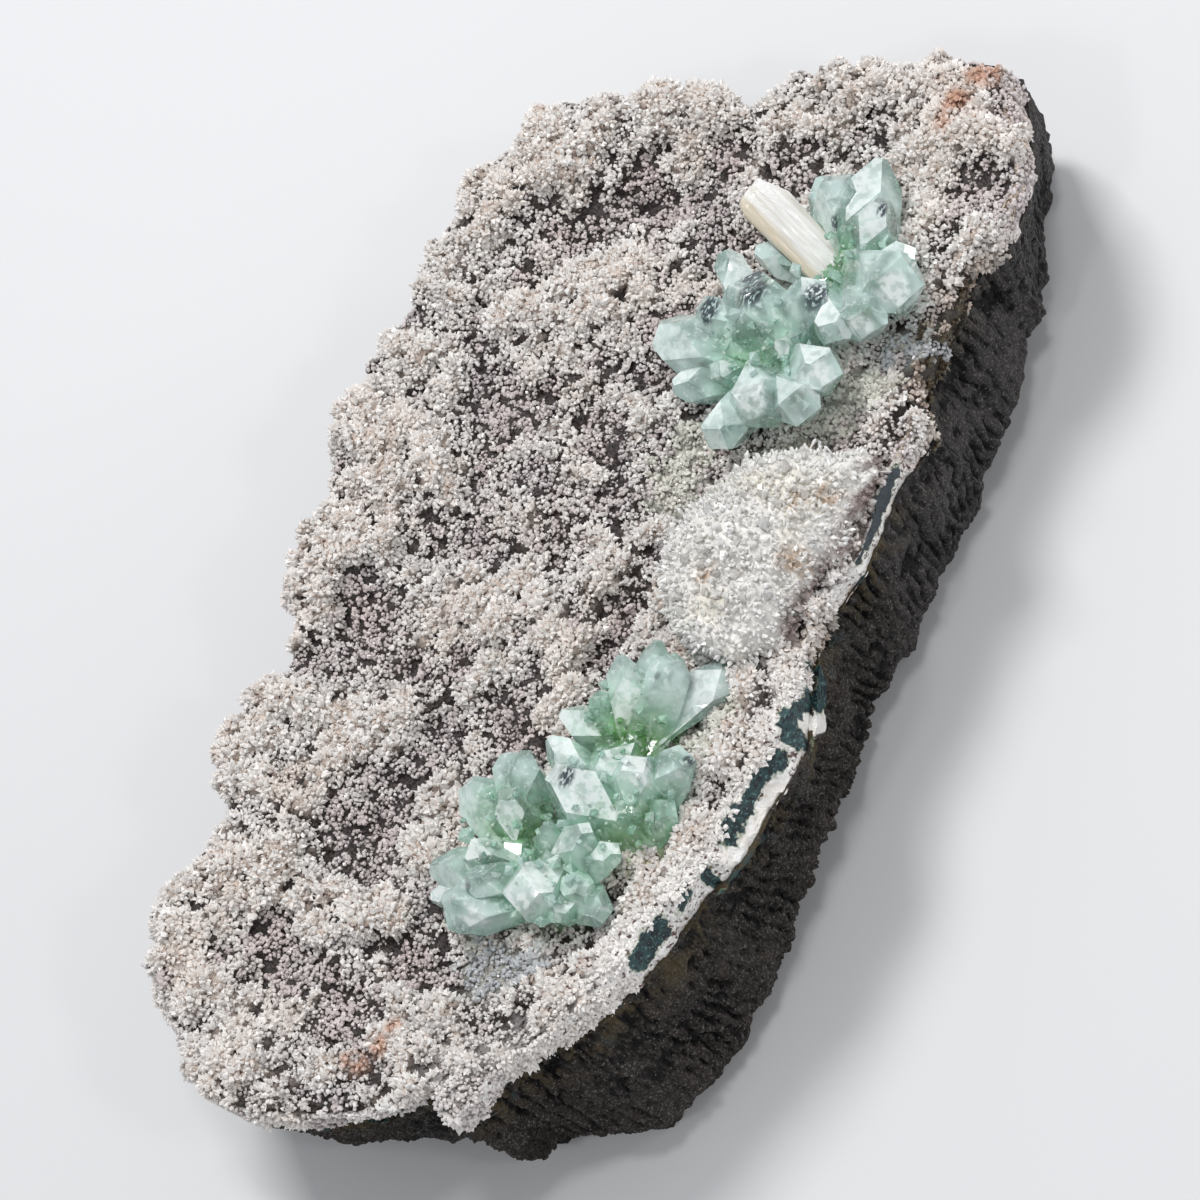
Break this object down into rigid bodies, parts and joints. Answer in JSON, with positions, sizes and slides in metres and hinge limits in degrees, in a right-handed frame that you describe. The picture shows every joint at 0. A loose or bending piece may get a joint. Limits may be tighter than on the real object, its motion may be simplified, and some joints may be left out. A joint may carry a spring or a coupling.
{
  "type": "apophyllite cluster",
  "caption": "Cabinet mineral specimen: green apophyllite crystals, a stilbite blade and a quartz mound on a druse-lined slab of dark basalt, lying on its flat back.",
  "frame": {"origin": "on the flat back, under the middle of the slab's box", "axes": "+Z out of the back, up through the crystal face; +Y along the slab towards the end with the upper crystals; +X towards the broken side"},
  "size_m": [0.1932, 0.367, 0.0861],
  "materials": {
    "basalt": "rough, chiselled in fine ridges",
    "druse": "sugary crystals with dark bases",
    "quartz": "translucent sugary crystals",
    "apophyllite": "clear to milky pale green, vitreous faces",
    "stilbite": "pearly, striated lengthwise"
  },
  "bodies": {
    "root": {"basalt_matrix": "basalt", "druse_crust": "druse", "quartz_mound": "quartz", "apophyllite_upper": "apophyllite", "apophyllite_lower": "apophyllite", "stilbite_blade": "stilbite"}
  },
  "joints": []
}
